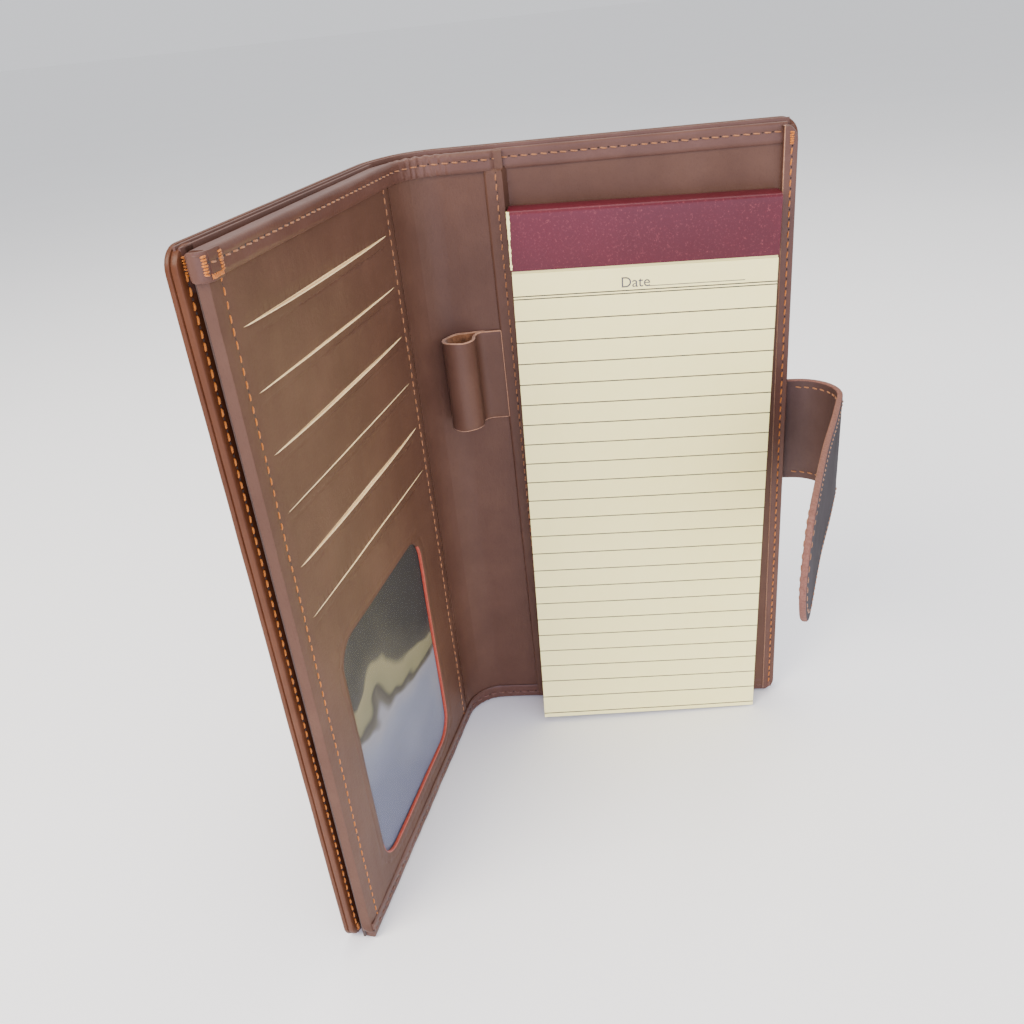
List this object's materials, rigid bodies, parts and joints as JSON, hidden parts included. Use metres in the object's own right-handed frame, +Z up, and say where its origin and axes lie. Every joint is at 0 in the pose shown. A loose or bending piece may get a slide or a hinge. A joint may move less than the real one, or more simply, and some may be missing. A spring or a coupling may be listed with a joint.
{
  "type": "long wallet",
  "caption": "Long leather wallet standing open, with card slots, clear window, pen loop, ruled notepad in a pocket and a wrap-round closing strap.",
  "frame": {"origin": "foot of the spine's outer leather, at the middle of the spine's flat part", "axes": "+Z up along the spine, +X along the right cover to its fore-edge, -Y the inside of the wallet"},
  "size_m": [0.1634, 0.118, 0.211],
  "materials": {
    "outer_leather": "satin",
    "inner_leather": "satin",
    "binding_leather": "satin",
    "lining": "matte",
    "board": "matte",
    "pocket_cloth": "matte",
    "clear_film": "gloss",
    "insert_card": "satin",
    "note_paper": "matte",
    "head_cover": "satin",
    "snap_metal": "satin"
  },
  "bodies": {
    "spine": {"spine_shell": "outer_leather", "spine_lining": "inner_leather", "spine_top_binding": "binding_leather", "spine_foot_binding": "binding_leather", "pen_loop": "inner_leather"},
    "spine_turn": {"spine_turn_shell": "outer_leather", "spine_turn_lining": "inner_leather", "spine_turn_top_binding": "binding_leather", "spine_turn_foot_binding": "binding_leather"},
    "right_cover": {"right_shell": "outer_leather", "right_stiffener": "board", "right_backing": "inner_leather", "right_pocket_panel": "inner_leather", "pocket_fold": "inner_leather", "right_edge_binding": "binding_leather", "right_top_binding": "binding_leather", "right_foot_binding": "binding_leather", "pen_loop_tab": "inner_leather"},
    "left_cover": {"left_shell": "outer_leather", "left_stiffener": "board", "left_cover_lining": "lining", "gusset_outer_flange": "lining", "snap_stud": "snap_metal", "left_hinge_lining": "inner_leather", "left_hinge_top_binding": "binding_leather", "left_hinge_foot_binding": "binding_leather"},
    "left_leaf": {"card_panel": "inner_leather", "card_pocket_1": "pocket_cloth", "card_pocket_2": "pocket_cloth", "card_pocket_3": "pocket_cloth", "card_pocket_4": "pocket_cloth", "card_pocket_5": "pocket_cloth", "card_pocket_6": "pocket_cloth", "id_window": "clear_film", "id_insert": "insert_card", "leaf_backing": "lining", "leaf_top_binding": "binding_leather", "leaf_foot_binding": "binding_leather", "leaf_edge_roll": "binding_leather", "gusset_inner_flange": "lining"},
    "strap_base": {"strap_base_outer": "outer_leather", "strap_base_lining": "inner_leather"},
    "strap_tip": {"strap_tip_outer": "outer_leather", "strap_tip_lining": "inner_leather", "snap_socket": "snap_metal"},
    "notepad": {"pad_sheets": "note_paper", "pad_backboard": "board", "pad_header": "head_cover"},
    "top_sheet": {"pad_top_sheet": "note_paper"}
  },
  "joints": [
    {"name": "right_fold", "type": "hinge", "parent": "spine", "child": "right_cover", "pos_m": [0.0033, -0.00185, 0], "axis": [0, 0, 1], "range_deg": [-38, 5]},
    {"name": "spine_bend", "type": "hinge", "parent": "spine", "child": "spine_turn", "pos_m": [-0.00879, -0.00282, 0], "axis": [0, 0, -1], "range_deg": [-31.7, 38.1]},
    {"name": "left_fold", "type": "hinge", "parent": "spine_turn", "child": "left_cover", "pos_m": [-0.0172, -0.00988, 0], "axis": [0, 0, -1], "range_deg": [-31.7, 38.1]},
    {"name": "bill_open", "type": "hinge", "parent": "left_cover", "child": "left_leaf", "pos_m": [-0.02081, -0.01523, 0], "axis": [0, 0, 1], "range_deg": [-0.2, 12]},
    {"name": "strap_root", "type": "hinge", "parent": "right_cover", "child": "strap_base", "pos_m": [0.1059, -0.00185, 0.11105], "axis": [0, 0, 1], "range_deg": [-10, 60]},
    {"name": "strap_fold", "type": "hinge", "parent": "strap_base", "child": "strap_tip", "pos_m": [0.11455, -0.02706, 0.11105], "axis": [0, 0, 1], "range_deg": [-61.7, 40]},
    {"name": "pad_slide", "type": "slide", "parent": "right_cover", "child": "notepad", "axis": [0.0192, 0, 0.9998], "range_m": [0, 0.15]},
    {"name": "sheet_lift", "type": "hinge", "parent": "notepad", "child": "top_sheet", "pos_m": [0.01705, -0.01317, 0.1751], "axis": [-0.9998, 0, 0.0192], "range_deg": [0, 32]}
  ],
  "couplings": [
    {"joint": "spine_bend", "follows": "left_fold", "ratio": 1}
  ]
}
